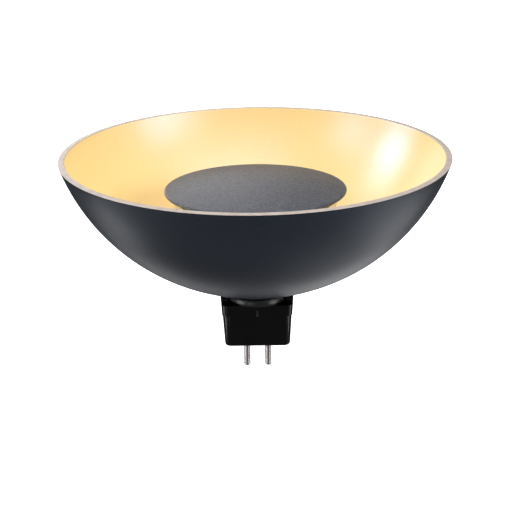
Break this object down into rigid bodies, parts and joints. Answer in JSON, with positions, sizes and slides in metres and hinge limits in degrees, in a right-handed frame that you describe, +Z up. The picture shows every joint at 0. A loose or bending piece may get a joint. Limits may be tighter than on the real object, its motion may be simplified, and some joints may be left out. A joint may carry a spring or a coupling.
{
  "type": "reflector lamp",
  "caption": "Low-voltage reflector lamp: a spun bowl with a shaded ring of light chips that shine down into it, on a moulded base with contact pins.",
  "frame": {"origin": "on the base's seat, midway between the two contact pins", "axes": "+Z up the lamp's axis towards the bowl's opening, X through both pins"},
  "size_m": [0.099, 0.099, 0.0547],
  "materials": {
    "bowl_paint": "fine black powder coat outside, satin pale gold lacquer inside, bare cut rim",
    "cap_paint": "dark grey powder coat with a fine sparkle",
    "gloss_black": "glossy moulded black",
    "satin_black": "satin moulded black",
    "plated_pin": "bright nickel plate",
    "green_board": "green solder mask",
    "white_board": "white solder mask on an aluminium core",
    "chip_black": "moulded epoxy",
    "chip_phosphor": "yellow phosphor in a white cup",
    "ferrite": "pressed ferrite",
    "can_metal": "drawn aluminium can",
    "capacitor_tan": "fired ceramic with tinned ends",
    "soft_black": "silicone rubber",
    "thermal_grey": "filled silicone pad",
    "turned_aluminium": "turned aluminium",
    "screw_steel": "zinc-plated steel",
    "frosted_plastic": "frosted translucent polycarbonate",
    "lead_red": "silicone insulation",
    "lead_black": "silicone insulation"
  },
  "bodies": {
    "root": {"reflector_bowl": "bowl_paint", "neck_collar": "gloss_black", "driver_housing": "satin_black", "base_cap": "satin_black", "contact_pin_left": "plated_pin", "contact_pin_right": "plated_pin", "driver_board": "green_board", "bridge_rectifier": "chip_black", "driver_chip": "chip_black", "power_inductor": "ferrite", "smoothing_capacitor": "can_metal", "catch_diode": "chip_black", "chip_capacitors": "capacitor_tan", "chip_resistors": "chip_black", "lead_grommet": "soft_black", "stem_gasket": "thermal_grey", "stem_post": "turned_aluminium", "stem_screws": "screw_steel", "heat_spreader": "turned_aluminium", "spreader_screws": "screw_steel", "thermal_sheet": "thermal_grey", "led_board": "white_board", "led_chips": "chip_phosphor", "board_screws": "screw_steel", "diffuser_ring": "frosted_plastic", "glare_cap": "cap_paint", "cap_screws": "screw_steel", "led_lead_positive": "lead_red", "led_lead_negative": "lead_black"}
  },
  "joints": []
}
